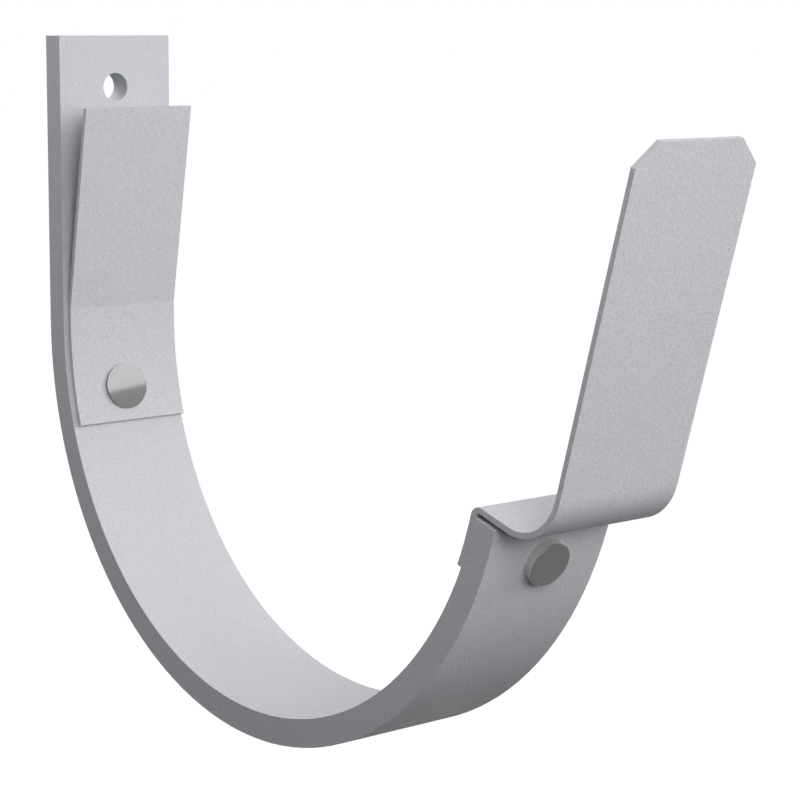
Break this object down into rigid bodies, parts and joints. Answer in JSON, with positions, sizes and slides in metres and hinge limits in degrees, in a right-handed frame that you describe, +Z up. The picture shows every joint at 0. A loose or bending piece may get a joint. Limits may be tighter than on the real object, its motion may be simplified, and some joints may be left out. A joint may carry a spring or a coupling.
{
  "type": "gutter bracket",
  "caption": "Half-round gutter bracket: flat bar bent to a screw-on upright and ring, with a flared spring clip at the back and a fold-over strap at the front.",
  "frame": {"origin": "centre of the screw hole at the wall, on the bar's rear face", "axes": "+X across the bar, +Y into the wall, -Y out to the gutter and the way the screw leaves, +Z up"},
  "size_m": [0.025, 0.1633, 0.1236],
  "materials": {
    "galvanised_strip": "matt pale zinc coat with a very fine speckle",
    "rivet_steel": "smooth satin grey, flat heads"
  },
  "bodies": {
    "root": {"hook_bar": "galvanised_strip", "rear_clip": "galvanised_strip", "front_strap": "galvanised_strip", "rear_rivet": "rivet_steel", "front_rivet": "rivet_steel"}
  },
  "joints": []
}
